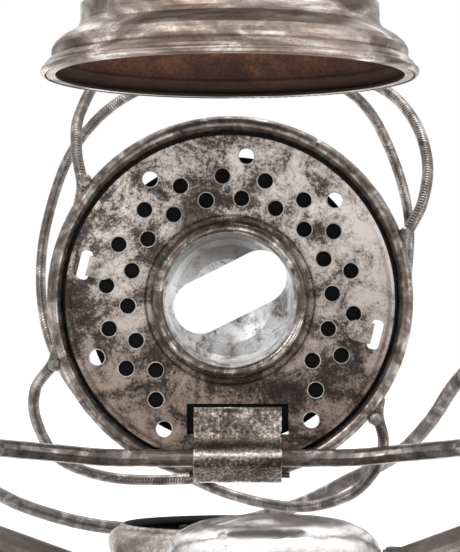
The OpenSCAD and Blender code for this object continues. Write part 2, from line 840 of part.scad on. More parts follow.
module wick_tube() {
    low = fount_top_z - 1 + seat_gap;
    inner = [wick_w + 2 * wick_gap, wick_t + 2 * wick_gap];
    outer = inner + [2 * wick_wall, 2 * wick_wall];
    color(brass)
        rotate([0, 0, slot_turn])
            difference() {
                translate([-outer.x / 2, -outer.y / 2, low])
                    cube([outer.x, outer.y, wick_tube_top - low]);
                translate([-inner.x / 2, -inner.y / 2, low - 1])
                    cube([inner.x, inner.y, 60]);
                for (x = [-6, 6])
                    translate([x - 1.3, -outer.y, shaft_z - 5])
                        cube([2.6, outer.y, 10]);
            }
}

module wick_shaft() {
    color(dark_steel)
        rotate([0, 0, slot_turn])
            translate([0, -shaft_offset, shaft_z])
                rotate([0, 90, 0]) {
                    translate([0, 0, -10])
                        cylinder(h = 55, r = shaft_r, $fn = 48);
                    for (x = [-6, 6])
                        translate([0, 0, x - 0.8])
                            cylinder(h = 1.6, r = wheel_r, $fn = 48);
                }
}

module wick_knob() {
    color(brass)
        rotate([0, 0, slot_turn])
            translate([41.5, -shaft_offset, shaft_z])
                rotate([0, 90, 0])
                    difference() {
                        union() {
                            cylinder(h = 3, r = knob_r);
                            translate([0, 0, -2])
                                cylinder(h = 2.1, r = 3);
                        }
                        translate([0, 0, -5])
                            cylinder(h = 12, r = shaft_r + 0.02, $fn = 48);
                        for (k = [0:23])
                            rotate([0, 0, 15 * k])
                                translate([knob_r + 0.4, 0, -1])
                                    cylinder(h = 5, r = 0.9, $fn = 20);
                    }
}

module wick() {
    color(cotton)
        rotate([0, 0, slot_turn])
            translate([-wick_w / 2, -wick_t / 2, 12])
                cube([wick_w, wick_t, wick_top - 12]);
}

fount_base();
fount_shell();
fount_collar();
filler_neck();
cap_gasket();
filler_cap();
air_chamber();
mirror([1, 0, 0]) side_tube();  // side_tube_left
side_tube();  // side_tube_right
mirror([1, 0, 0]) tube_brace();  // tube_brace_left
tube_brace();  // tube_brace_right
crown_drum();
chimney_neck();
chimney_cap();
mirror([1, 0, 0]) bail_ear();  // bail_ear_left
bail_ear();  // bail_ear_right
bail();
lever_bracket();
lever_pin();
lift_lever();
hinge_wire();
globe_plate();
plate_collar();
burner_cone();
globe_seat();
basket_ring();
guard(guard_left);  // basket_wire_left
guard(guard_right);  // basket_wire_right
hinge_strap();
hinge_pin();
hood_bell();
hood_tube();
hood_bridge();
lift_rod();
hood_spring();
burner_base();
burner_gallery();
wick_tube();
wick_shaft();
wick_knob();
wick();
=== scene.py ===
import json
import math

import bmesh
import bpy
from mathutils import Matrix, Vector, noise


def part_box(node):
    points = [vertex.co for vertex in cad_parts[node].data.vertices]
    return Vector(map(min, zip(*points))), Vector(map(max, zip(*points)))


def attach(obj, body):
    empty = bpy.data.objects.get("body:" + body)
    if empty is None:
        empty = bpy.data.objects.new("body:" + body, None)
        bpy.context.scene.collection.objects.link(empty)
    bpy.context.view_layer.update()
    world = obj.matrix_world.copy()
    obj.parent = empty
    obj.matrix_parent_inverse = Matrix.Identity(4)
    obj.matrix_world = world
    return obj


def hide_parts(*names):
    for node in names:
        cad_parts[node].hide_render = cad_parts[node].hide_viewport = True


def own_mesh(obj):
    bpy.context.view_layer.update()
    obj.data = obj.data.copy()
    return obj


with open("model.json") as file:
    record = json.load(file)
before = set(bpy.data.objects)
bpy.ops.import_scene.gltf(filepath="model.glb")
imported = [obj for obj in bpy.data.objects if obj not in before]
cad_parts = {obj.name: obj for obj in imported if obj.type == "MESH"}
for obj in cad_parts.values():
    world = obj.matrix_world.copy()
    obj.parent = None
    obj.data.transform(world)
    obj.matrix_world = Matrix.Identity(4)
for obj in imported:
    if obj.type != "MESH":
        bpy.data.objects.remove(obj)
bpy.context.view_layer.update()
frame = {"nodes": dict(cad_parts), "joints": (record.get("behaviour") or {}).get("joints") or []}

MM = 0.001  # the frame and the materials are in metres; the sizes of the drawn pieces are in mm
SIDES = (("left", -1), ("right", 1))

# ---------- places taken from the frame ----------

PLATE_LIP = 0.9 * MM  # how far the plate's edge stands in front of its face
PLATE_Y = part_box("globe_plate")[0][1] + PLATE_LIP
PLATE_Z = sum(corner[2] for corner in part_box("plate_collar")) / 2
HOOD_RIM_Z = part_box("hood_bell")[0][2]
joints = {joint["name"]: joint for joint in frame["joints"]}
HINGE_Y, HINGE_Z = (value / MM for value in joints["basket_tilt"]["pos_m"][1:])
CREASE_RISE = 3.1  # from the hinge wire's middle up to the crease in the hinge strap
STRAP_CREASE_Z = (HINGE_Z + CREASE_RISE) * MM


def in_basket(p):
    """Where the tipped-back basket has a point of the closed one, which is in mm, with the plate flat and
    Z up through the globe."""
    return Vector((p[0] * MM, PLATE_Y + p[2] * MM, PLATE_Z - p[1] * MM))


# ---------- mesh builders ----------

def add_mesh(name, verts, faces, smooth=True):
    mesh = bpy.data.meshes.new(name)
    mesh.from_pydata([tuple(v) for v in verts], [], faces)
    mesh.validate()
    shell = bmesh.new()
    shell.from_mesh(mesh)
    bmesh.ops.recalc_face_normals(shell, faces=shell.faces)
    shell.to_mesh(mesh)
    shell.free()
    for polygon in mesh.polygons:
        polygon.use_smooth = smooth
    obj = bpy.data.objects.new(name, mesh)
    bpy.context.scene.collection.objects.link(obj)
    return obj


def spline(points, step):
    """Points about a step apart on a smooth curve through the given points."""
    pts = [Vector(p) for p in points]
    pts = [2 * pts[0] - pts[1]] + pts + [2 * pts[-1] - pts[-2]]
    line = []
    for a, b, c, d in zip(pts, pts[1:], pts[2:], pts[3:]):
        count = max(1, round((c - b).length / step))
        for k in range(count):
            t = k / count
            line.append(0.5 * (2 * b + (c - a) * t + (2 * a - 5 * b + 4 * c - d) * t * t
                               + (3 * b - a - 3 * c + d) * t ** 3))
    line.append(pts[-2])
    return line


def sweep(name, line, radius, sides=12, closed=False, up=None):
    """A round wire along a line. radius is a number, or a function of the distance along the line and the
    angle round it."""
    count = len(line)
    size = radius if callable(radius) else lambda along, turn: radius
    along = [0.0]
    for a, b in zip(line, line[1:]):
        along.append(along[-1] + (b - a).length)
    verts, faces = [], []
    up = Vector(up) if up else (line[1] - line[0]).orthogonal()
    for i in range(count):
        before = line[i - 1] if i or closed else line[0]
        after = line[(i + 1) % count] if i < count - 1 or closed else line[i]
        forward = (after - before).normalized()
        up = (up - up.dot(forward) * forward).normalized()
        side = forward.cross(up)
        for k in range(sides):
            turn = 2 * math.pi * k / sides
            verts.append(line[i] + size(along[i], turn) * (math.cos(turn) * up + math.sin(turn) * side))
    rings = count if closed else count - 1
    for i in range(rings):
        j = (i + 1) % count
        for k in range(sides):
            m = (k + 1) % sides
            faces.append((i * sides + k, j * sides + k, j * sides + m, i * sides + m))
    if not closed:
        faces.append(tuple(reversed(range(sides))))
        faces.append(tuple((count - 1) * sides + k for k in range(sides)))
    return add_mesh(name, verts, faces)


# ---------- materials ----------

def map_range(tree, value, low, high, to_low, to_high):
    """value mapped from low..high to to_low..to_high, and held there."""
    node = tree.nodes.new("ShaderNodeMapRange")
    tree.links.new(value, node.inputs["Value"])
    for socket, number in zip(("From Min", "From Max", "To Min", "To Max"), (low, high, to_low, to_high)):
        node.inputs[socket].default_value = number
    return node.outputs["Result"]


class Look:
    """A node material, painted in the object's own coordinates."""

    def __init__(self, name, metallic, specular=0.5):
        self.material = bpy.data.materials.new(name)
        self.material.use_nodes = True
        self.tree = self.material.node_tree
        self.tree.nodes.clear()
        output = self.node("ShaderNodeOutputMaterial")
        self.shader = self.node("ShaderNodeBsdfPrincipled")
        self.shader.inputs["Metallic"].default_value = metallic
        self.shader.inputs["Specular IOR Level"].default_value = specular
        self.link(self.shader.outputs["BSDF"], output.inputs["Surface"])
        self.coords = self.node("ShaderNodeTexCoord").outputs["Object"]

    def node(self, kind):
        return self.tree.nodes.new(kind)

    def link(self, source, target):
        self.tree.links.new(source, target)

    def noise(self, size, detail=4.0, rough=0.6, warp=0.0, coords=None):
        """Noise from 0 to 1 with blotches about as large as size, in metres."""
        node = self.node("ShaderNodeTexNoise")
        node.inputs["Scale"].default_value = 1 / size
        node.inputs["Detail"].default_value = detail
        node.inputs["Roughness"].default_value = rough
        node.inputs["Distortion"].default_value = warp
        self.link(coords or self.coords, node.inputs["Vector"])
        return node.outputs["Fac"]

    def stretched(self, scale):
        """The coordinates multiplied by scale, which makes noise finer along an axis."""
        node = self.node("ShaderNodeMapping")
        node.inputs["Scale"].default_value = scale
        self.link(self.coords, node.inputs["Vector"])
        return node.outputs["Vector"]

    def ramp(self, value, stops):
        """value as a colour. stops is a list of (place, colour)."""
        node = self.node("ShaderNodeValToRGB")
        elements = node.color_ramp.elements
        while len(elements) < len(stops):
            elements.new(0.5)
        for element, (place, colour) in zip(elements, stops):
            element.position = place
            element.color = (*colour, 1)
        self.link(value, node.inputs["Fac"])
        return node.outputs["Color"]

    def span(self, value, low, high, to_low=0.0, to_high=1.0):
        """How far value is on the way from low to high, as a number from to_low to to_high."""
        return map_range(self.tree, value, low, high, to_low, to_high)

    def calc(self, operation, a, b=0.0):
        """A math node on two sockets or numbers, or on one where the operation takes no more."""
        node = self.node("ShaderNodeMath")
        node.operation = operation
        for socket, value in zip(node.inputs, (a, b)):
            if isinstance(value, (int, float)):
                socket.default_value = value
            else:
                self.link(value, socket)
        return node.outputs["Value"]

    def plus(self, a, b):
        return self.calc("ADD", a, b)

    def minus(self, a, b):
        return self.calc("SUBTRACT", a, b)

    def times(self, a, b):
        return self.calc("MULTIPLY", a, b)

    def mix(self, amount, a, b, mode="MIX"):
        """Colour a with colour b laid over it, by amount."""
        node = self.node("ShaderNodeMix")
        node.data_type = "RGBA"
        node.blend_type = mode
        for socket, value in ((node.inputs[0], amount), (node.inputs[6], a), (node.inputs[7], b)):
            if isinstance(value, (int, float)):
                socket.default_value = value
            elif isinstance(value, tuple):
                socket.default_value = (*value, 1)
            else:
                self.link(value, socket)
        return node.outputs[2]

    def component(self, vector, name):
        """A vector's X, Y or Z."""
        node = self.node("ShaderNodeSeparateXYZ")
        self.link(vector, node.inputs["Vector"])
        return node.outputs[name]

    def axis(self, name):
        return self.component(self.coords, name)

    def facing(self, name):
        """How far the surface looks along one of the object's axes, from -1 to 1."""
        return self.component(self.node("ShaderNodeTexCoord").outputs["Normal"], name)

    def inward(self):
        """1 where the surface looks towards the lantern's own axis, as inside a bell or a drum."""
        outward = self.plus(self.times(self.axis("X"), self.facing("X")),
                            self.times(self.axis("Y"), self.facing("Y")))
        return self.span(outward, -0.002, -0.005)

    def not_back(self):
        """0 where the surface looks straight back, 1 elsewhere."""
        return self.span(self.facing("Y"), 0.6, 0.2)

    def finish(self, colour, rough, height=None, depth=0.0001, strength=0.5):
        """The material, once its colour, its roughness and, if given, its bumps are connected."""
        self.link(colour, self.shader.inputs["Base Color"])
        self.link(rough, self.shader.inputs["Roughness"])
        if height is not None:
            bump = self.node("ShaderNodeBump")
            bump.inputs["Distance"].default_value = depth
            bump.inputs["Strength"].default_value = strength
            self.link(height, bump.inputs["Height"])
            self.link(bump.outputs["Normal"], self.shader.inputs["Normal"])
        return self.material


def worn_metal(name, dark, middle, light, metallic=0.8, rough=(0.32, 0.6), patch=0.011, spots=0.35,
               spot_colour=(0.035, 0.022, 0.015), rust=0.0):
    """Tinned steel with blotches of patina, small dark pits and, if asked, rust."""
    look = Look(name, metallic)
    patches = look.noise(patch, 6, 0.65, 0.6)
    colour = look.ramp(patches, [(0.3, dark), (0.5, middle), (0.68, light)])
    grain = look.noise(patch / 14, 3, 0.7)
    shade = look.ramp(grain, [(0.3, (0.45, 0.43, 0.42)), (0.7, (1, 1, 1))])
    colour = look.mix(0.45, colour, shade, "MULTIPLY")
    pits = look.span(look.noise(patch / 5, 5, 0.7, 0.3), 0.6, 0.68)
    colour = look.mix(look.times(pits, spots), colour, spot_colour)
    if rust:
        stains = look.span(look.noise(patch * 1.6, 5, 0.7, 1.0), 0.56, 0.7)
        colour = look.mix(look.times(stains, rust), colour, (0.14, 0.055, 0.022))
    roughness = look.span(patches, 0.3, 0.7, rough[1], rough[0])
    return look.finish(colour, roughness, grain, 0.00006, 0.6)


def set_material(material, *nodes):
    """Every slot of the named nodes of the frame gets the material."""
    for node in nodes:
        for slot in frame["nodes"][node].material_slots:
            slot.material = material


tinned = worn_metal("tinned", (0.06, 0.049, 0.042), (0.15, 0.128, 0.112), (0.34, 0.31, 0.285),
                    rust=0.4, rough=(0.26, 0.52), patch=0.016)
tinned_dark = worn_metal("tinned_dark", (0.06, 0.05, 0.042), (0.15, 0.13, 0.115), (0.3, 0.27, 0.245),
                         rust=0.3)
tinned_bright = worn_metal("tinned_bright", (0.34, 0.325, 0.31), (0.66, 0.64, 0.63), (0.9, 0.89, 0.89),
                           metallic=0.95, rough=(0.1, 0.3), spots=0.25)
collar_look = worn_metal("collar_tin", (0.03, 0.022, 0.018), (0.14, 0.112, 0.095), (0.66, 0.6, 0.55),
                         rust=0.35, rough=(0.16, 0.42), patch=0.005)
ring_look = worn_metal("ring_steel", (0.045, 0.036, 0.031), (0.18, 0.15, 0.132), (0.52, 0.47, 0.43),
                       rough=(0.25, 0.5), patch=0.0035)
wire_look = worn_metal("wire_steel", (0.055, 0.046, 0.041), (0.16, 0.142, 0.131), (0.44, 0.41, 0.395),
                       rough=(0.22, 0.45), patch=0.005)
neck_look = worn_metal("neck_steel", (0.03, 0.025, 0.022), (0.08, 0.068, 0.06), (0.18, 0.16, 0.145),
                       rust=0.4)
brass_look = worn_metal("old_brass", (0.05, 0.034, 0.014), (0.14, 0.095, 0.042), (0.3, 0.22, 0.11),
                        metallic=0.9, rough=(0.28, 0.5), spot_colour=(0.03, 0.025, 0.012))
burr_look = worn_metal("burr_edge", (0.2, 0.18, 0.16), (0.5, 0.48, 0.46), (0.85, 0.83, 0.81),
                       metallic=0.85, patch=0.003)
solder_look = worn_metal("solder", (0.09, 0.08, 0.07), (0.22, 0.2, 0.185), (0.45, 0.42, 0.4), patch=0.004)

# Near black: char on the wick's top, and painted shade on surfaces set back behind the plate's face.
CHAR_AND_SHADE_BLACK = (0.012, 0.01, 0.009)


def patchy(look, patch, stops, speckle=0.5, bias=None):
    """Sharp-edged patches of bright tin and brown tarnish, broken up by fine speckle: their colour, the value
    it comes from and the speckle's noise."""
    coarse = look.noise(patch, 10, 0.72, 0.5)
    if bias:
        coarse = look.plus(coarse, bias)
    fine = look.noise(patch / 16, 4, 0.75)
    value = look.plus(coarse, look.times(look.minus(fine, 0.5), speckle))
    return look.ramp(value, stops), value, fine


def plate_material():
    """The plate's face, browner low down and round the collar, with painted shade, near black, on the
    set-back surfaces that show through its holes.
    """
    look = Look("plate_tin", 0.55)
    x, z = look.axis("X"), look.minus(look.axis("Z"), PLATE_Z)
    reach = look.calc("SQRT", look.plus(look.times(x, x), look.times(z, z)))
    # The patches are pushed brighter towards the upper right.
    brighter_upper_right = look.times(look.times(look.span(x, 0.012, 0.034), look.span(z, -0.02, 0.006)), 0.1)
    stops = [(0.40, (0.036, 0.027, 0.023)), (0.48, (0.12, 0.098, 0.083)),
             (0.53, (0.42, 0.37, 0.33)), (0.64, (0.78, 0.72, 0.67))]
    colour, value, fine = patchy(look, 0.011, stops, 0.4, brighter_upper_right)
    rust = look.span(look.noise(0.017, 6, 0.7, 0.8), 0.58, 0.7)
    colour = look.mix(look.times(rust, 0.4), colour, (0.16, 0.095, 0.06))
    # Painted shade: surfaces set back behind the plate's face, outside the collar and not looking straight
    # back, are painted near black.
    behind = look.times(look.span(look.axis("Y"), PLATE_Y + 0.35 * MM, PLATE_Y + 0.55 * MM),
                        look.span(reach, 0.0228, 0.0236))
    colour = look.mix(look.times(behind, look.not_back()), colour, CHAR_AND_SHADE_BLACK)
    near_collar = look.span(reach, 0.0225, 0.0175)
    colour = look.mix(look.times(near_collar, 0.8), colour, (0.1, 0.075, 0.063))
    low = look.span(z, 0.022, -0.022)
    colour = look.mix(low, colour, (0.36, 0.3, 0.265), "MULTIPLY")
    return look.finish(colour, look.span(value, 0.4, 0.6, 0.6, 0.36), fine, 0.00007, 0.7)


def seat_material():
    """Bare tin on the clinched tabs on the plate's face, and painted shade on what shows through its holes.
    """
    look = Look("seat_tin", 0.4, 0.2)
    stops = [(0.38, (0.06, 0.05, 0.043)), (0.48, (0.22, 0.195, 0.175)), (0.6, (0.5, 0.46, 0.43))]
    colour, _, fine = patchy(look, 0.007, stops)
    # Painted shade: surfaces set back behind the plate's face are darkened, and painted near black, matte and
    # not metallic, where they don't look straight back.
    behind = look.span(look.axis("Y"), PLATE_Y + 0.05 * MM, PLATE_Y + 0.3 * MM)
    colour = look.mix(behind, colour, (0.3, 0.26, 0.23), "MULTIPLY")
    painted_shade_mask = look.times(behind, look.not_back())
    colour = look.mix(painted_shade_mask, colour, (0.002, 0.0018, 0.0016))
    look.link(look.span(painted_shade_mask, 0, 1, 0.6, 0.0), look.shader.inputs["Metallic"])
    return look.finish(colour, look.span(painted_shade_mask, 0, 1, 0.42, 0.95), fine, 0.00007, 0.7)


def strap_material():
    """Bright grainy tin, browned in patches, with painted shade along its crease and a painted highlight just
    under that.
    """
    look = Look("strap_tin", 0.75)
    stops = [(0.34, (0.035, 0.026, 0.021)), (0.46, (0.12, 0.094, 0.077)),
             (0.56, (0.3, 0.25, 0.22)), (0.68, (0.75, 0.69, 0.64))]
    colour, value, fine = patchy(look, 0.012, stops, 0.9)
    rust = look.span(look.noise(0.007, 6, 0.7, 0.8), 0.6, 0.68)
    colour = look.mix(look.times(rust, 0.55), colour, (0.17, 0.07, 0.035))
    # Painted highlight in a band 1.9 mm under the crease, broken by the grain, and painted shade along the
    # crease itself.
    from_highlight, from_crease = (look.calc("ABSOLUTE", look.minus(look.axis("Z"), height))
                              for height in (STRAP_CREASE_Z - 1.9 * MM, STRAP_CREASE_Z))
    painted_highlight = look.times(look.span(from_highlight, 0.0012, 0.0003, 0.0, 0.85), look.span(fine, 0.35, 0.55))
    colour = look.mix(painted_highlight, colour, (0.8, 0.75, 0.7))
    colour = look.mix(look.span(from_crease, 0.0014, 0.0003, 0.0, 0.85), colour, (0.03, 0.021, 0.017))
    return look.finish(colour, look.span(value, 0.4, 0.6, 0.42, 0.2), fine, 0.0001, 0.7)


def cone_material():
    """Dull zinc, with painted shade darkening it towards its top, under the collar, and soot in patches that
    thicken towards the flame slot.
    """
    look = Look("cone_zinc", 0.5)
    stops = [(0.36, (0.1, 0.095, 0.09)), (0.45, (0.36, 0.35, 0.345)),
             (0.54, (0.66, 0.66, 0.66)), (0.7, (0.88, 0.88, 0.88))]
    colour, value, fine = patchy(look, 0.009, stops, 0.25)
    patches = look.span(look.noise(0.006, 7, 0.72, 1.5), 0.55, 0.63)
    deep = look.span(look.axis("Y"), PLATE_Y + 5 * MM, PLATE_Y + 11 * MM)
    colour = look.mix(look.times(patches, look.span(deep, 0, 1, 0.35, 0.9)), colour, (0.06, 0.05, 0.043))
    # Painted shade: darker towards the top, under the collar.
    high = look.plus(look.minus(look.axis("Z"), PLATE_Z), look.times(look.minus(value, 0.5), 0.02))
    colour = look.mix(look.span(high, 0.004, 0.014, 0.0, 0.85), colour, (0.12, 0.115, 0.11))
    return look.finish(colour, look.span(value, 0.35, 0.6, 0.5, 0.28), fine, 0.00005, 0.5)


def hood_material():
    """Streaky worn tin outside; rust brown inside the bell, with painted shade darkening it to near black at
    its rim.
    """
    look = Look("hood_tin", 0.8)
    streaks = look.noise(0.02, 6, 0.65, 0.8, look.stretched((1, 1, 3.2)))
    colour = look.ramp(streaks, [(0.34, (0.075, 0.052, 0.042)), (0.47, (0.2, 0.155, 0.13)),
                                 (0.56, (0.36, 0.3, 0.265)), (0.66, (0.72, 0.67, 0.63))])
    grain = look.noise(0.0008, 3, 0.75)
    shade = look.ramp(grain, [(0.3, (0.42, 0.38, 0.35)), (0.7, (1, 1, 1))])
    colour = look.mix(0.5, colour, shade, "MULTIPLY")
    spots = look.span(look.noise(0.0024, 5, 0.7), 0.6, 0.68)
    colour = look.mix(look.times(spots, 0.5), colour, (0.06, 0.036, 0.025))
    speckle = look.times(look.plus(look.noise(0.0009, 4, 0.8), look.noise(0.012, 4, 0.6)), 0.5)
    rust = look.ramp(speckle, [(0.4, (0.028, 0.009, 0.005)), (0.5, (0.105, 0.036, 0.016)),
                               (0.62, (0.24, 0.1, 0.045))])
    # Painted shade: the rust inside the bell darkens to near black towards the rim.
    rim_shade = look.span(look.axis("Z"), HOOD_RIM_Z + 1 * MM, HOOD_RIM_Z + 13 * MM)
    rust = look.mix(rim_shade, (0.02, 0.008, 0.005), rust)
    inside = look.inward()
    colour = look.mix(inside, colour, rust)
    look.link(look.span(inside, 0, 1, 0.8, 0.0), look.shader.inputs["Metallic"])
    roughness = look.calc("MAXIMUM", look.span(streaks, 0.35, 0.65, 0.46, 0.2),
                          look.span(inside, 0, 1, 0.0, 0.9))
    return look.finish(colour, roughness, grain, 0.00006, 0.6)


def chamber_material():
    """Tin outside, near black inside."""
    look = Look("chamber_tin", 0.8)
    stops = [(0.36, (0.13, 0.105, 0.09)), (0.48, (0.28, 0.245, 0.22)), (0.64, (0.62, 0.59, 0.56))]
    colour, value, fine = patchy(look, 0.014, stops, 0.4)
    inside = look.inward()
    colour = look.mix(inside, colour, (0.006, 0.005, 0.0045))
    look.link(look.span(inside, 0, 1, 0.8, 0.0), look.shader.inputs["Metallic"])
    roughness = look.calc("MAXIMUM", look.span(value, 0.4, 0.6, 0.45, 0.22),
                          look.span(inside, 0, 1, 0.0, 0.9))
    return look.finish(colour, roughness, fine, 0.00006, 0.6)


def cork_material():
    look = Look("cork", 0.0)
    grain = look.noise(0.0012, 4, 0.7)
    colour = look.ramp(grain, [(0.35, (0.06, 0.03, 0.015)), (0.6, (0.2, 0.12, 0.06))])
    return look.finish(colour, look.span(grain, 0, 1, 0.7, 0.95), grain, 0.0002)


def wick_material():
    """Woven cotton, charred at the top."""
    look = Look("wick_cotton", 0.0)
    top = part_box("wick")[1][2]
    weave = look.noise(0.0007, 2, 0.5, coords=look.stretched((1, 1, 0.5)))
    colour = look.ramp(weave, [(0.3, (0.3, 0.26, 0.19)), (0.7, (0.62, 0.56, 0.45))])
    char = look.span(look.axis("Z"), top - 0.003, top - 0.0012)
    colour = look.mix(char, colour, CHAR_AND_SHADE_BLACK)
    return look.finish(colour, look.span(weave, 0, 1, 0.85, 1.0), weave, 0.0003)


set_material(tinned, "fount_shell", "filler_neck", "side_tube_left", "side_tube_right",
             "crown_drum", "chimney_cap", "bail_ear_left", "bail_ear_right", "lift_lever")
set_material(tinned_dark, "fount_base", "tube_brace_left", "tube_brace_right", "lever_bracket")
set_material(tinned_bright, "lever_pin")
set_material(neck_look, "chimney_neck", "hood_bridge", "wick_knob")
set_material(seat_material(), "globe_seat")
set_material(chamber_material(), "air_chamber")
set_material(brass_look, "fount_collar", "burner_base", "burner_gallery", "wick_tube")
set_material(cork_material(), "cap_gasket")
set_material(plate_material(), "globe_plate")
set_material(collar_look, "plate_collar")
set_material(cone_material(), "burner_cone")
set_material(hood_material(), "hood_bell", "hood_tube")
set_material(wire_look, "hinge_wire", "bail", "hinge_pin", "lift_rod", "wick_shaft")

# ---------- guard wires, with the fine ridges of drawn wire ----------

# Points of the closed basket in mm, with Y up as seen from the front, from end to end of each wire.
GUARD_LEFT = [(43.4, 12.5, 2.2), (44.6, 16.8, 2.6), (48.8, 25, 6), (50.6, 36, 13), (47.6, 48, 22.5),
              (39, 57.5, 31.5), (20, 63.5, 40), (-2, 64, 47.5), (-27, 58.5, 57), (-43, 45, 65),
              (-51.3, 25, 71), (-53.4, 6, 72), (-50, -11.5, 71), (-40.5, -26.5, 67), (-23.5, -40, 59.5),
              (-4, -50, 47.5), (16, -53.8, 32), (30, -50.3, 19.5), (37, -42.5, 8.5), (38.6, -35.5, 4.5),
              (37.2, -29.2, 2.6), (37.6, -24.6, 2.2)]
GUARD_RIGHT = [(-38, 23.8, 2.2), (-37.3, 29.4, 2.6), (-39, 38.5, 7), (-38.6, 48.5, 15), (-32, 60, 25.5),
               (-12, 67.5, 36.5), (8, 68.2, 45), (24, 63.5, 51.5), (37.5, 55, 58), (46, 40.7, 66),
               (50.4, 25, 71), (50, 9, 72), (48, -6.5, 71), (43.2, -21, 67.5), (33.5, -33, 62),
               (19.5, -41.5, 56), (2, -46, 50.5), (-15, -47.3, 44.5), (-32, -46.3, 37.5),
               (-44.5, -41, 27.5), (-49.6, -31, 16), (-49.3, -22.5, 8), (-44.7, -16.3, 2.6),
               (-43.4, -12.2, 2.2)]
GUARD_STEP = 0.2
GUARD_R = 1.5 * MM
RIDGE_PITCH = 0.8 * MM
RIDGE_DEPTH = 0.16 * MM


def ridged(along, turn):
    """One fine ridge winds round the wire, like a thread."""
    wave = math.cos(2 * math.pi * along / RIDGE_PITCH + turn)
    return GUARD_R - 0.5 * RIDGE_DEPTH * (1 - wave)


for guard_name, guard_points in (("left", GUARD_LEFT), ("right", GUARD_RIGHT)):
    guard_line = [in_basket((x, -y, z)) for x, y, z in spline(guard_points, GUARD_STEP)]
    guard = sweep("guard_wire_" + guard_name, guard_line, ridged)
    guard.data.materials.append(wire_look)
    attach(guard, "basket")
    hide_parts("basket_wire_" + guard_name)

# ---------- the basket's rolled ring ----------

RING_R = 44.1
RING_WIRE_R = 1.9
RING_RAISE = 0.3
RING_BACK = 2  # from the plate's face to the middle of the ring's wire
RING_STEPS = 700
RING_FLAT = 12.8  # half the straight part under the hinge strap
FLAT_ANGLE = math.degrees(math.asin(RING_FLAT / RING_R))
SLEEVE_JOINTS = (21, 61, 98, 140, 200, 319)
GROOVE_DEPTH = 0.28
GROOVE_WIDTH = 0.35
SLEEVE_SEAM_DEPTH = 0.22
SLEEVE_SEAM_SHARPNESS = 60
SLEEVE_SEAM_TURN = math.radians(318)


def ring_point(angle):
    """A point of the ring, by its angle as seen from the front; it runs straight under the hinge strap."""
    low = abs((angle - 270 + 180) % 360 - 180)
    radius = RING_R
    if low < FLAT_ANGLE:
        radius = RING_R * math.cos(math.radians(FLAT_ANGLE)) / math.cos(math.radians(low))
    x = radius * math.cos(math.radians(angle))
    y = -radius * math.sin(math.radians(angle))
    return in_basket((x, y - RING_RAISE, RING_BACK))


def rolled(along, turn):
    """The ring is a rolled sleeve, with a seam along it and a shallow groove round it at each joint."""
    angle = math.degrees(along / (RING_R * MM))
    groove = 0.0
    for joint in SLEEVE_JOINTS:
        away = (angle - joint) * math.pi / 180 * RING_R
        groove += GROOVE_DEPTH * math.exp(-(away / GROOVE_WIDTH) ** 2)
    towards_seam = max(0.0, math.cos(turn - SLEEVE_SEAM_TURN))
    seam = SLEEVE_SEAM_DEPTH * towards_seam ** SLEEVE_SEAM_SHARPNESS
    return (RING_WIRE_R - groove - seam) * MM


ring_line = [ring_point(360 * k / RING_STEPS) for k in range(RING_STEPS)]
ring = sweep("rolled_ring", ring_line, rolled, 28, closed=True, up=(0, -1, 0))
ring.data.materials.append(ring_look)
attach(ring, "basket")
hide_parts("basket_ring")

# ---------- hinge strap: one strip of sheet, with the dents and the lifted lip of a worn one ----------

STRAP_X = 1.9
STRAP_W = 22
STRAP_T = 0.6
STRAP_TOP = -26.8  # from the plate's middle
STRAP_SEAT = 0.05
KNEE_RISE = 5.4  # from the hinge wire's middle up to the end of the strap's flat part
HINGE_WIRE_R = 2.2
WIRE_GAP = 0.1
WIRE_BEND = HINGE_WIRE_R + WIRE_GAP + STRAP_T / 2
CURL_R = 2.7
CURL_BEND = CURL_R + STRAP_T / 2
CURL_BACK = 1.5
CURL_Z = -42.45  # from the plate's middle
CURL_END = 400
STRAP_DENT = 0.05
LIP_LIFT = 0.9
LIP_X = 0.6
LIP_HALF_WIDTH = 2.6
LIP_ROWS = 1.6


def arc_points(centre, radius, start, end, count):
    angles = [math.radians(start + (end - start) * k / count) for k in range(count + 1)]
    return [(centre[0] + radius * math.cos(a), centre[1] + radius * math.sin(a)) for a in angles]


def strap_profile():
    """The sheet's middle from its top edge, over the hinge wire and round the curl, as (y, z) in mm."""
    plate_y, plate_z = PLATE_Y / MM, PLATE_Z / MM
    flat_y = plate_y - STRAP_SEAT - STRAP_T / 2
    knee = Vector((flat_y, HINGE_Z + KNEE_RISE))
    curl = Vector((plate_y + CURL_BACK, plate_z + CURL_Z))
    wire = Vector((HINGE_Y, HINGE_Z))
    to_knee, to_curl = knee - wire, curl - wire
    first = math.degrees(math.atan2(to_knee.y, to_knee.x) + math.acos(WIRE_BEND / to_knee.length))
    last = 360 + math.degrees(math.atan2(to_curl.y, to_curl.x)
                              - math.acos((WIRE_BEND - CURL_BEND) / to_curl.length))
    top, rows = plate_z + STRAP_TOP, 14
    line = [(flat_y, top + (knee.y - top) * k / rows) for k in range(rows)]
    return (line + arc_points(wire, WIRE_BEND, first, last, 22)
            + arc_points(curl, CURL_BEND, last, CURL_END, 26))


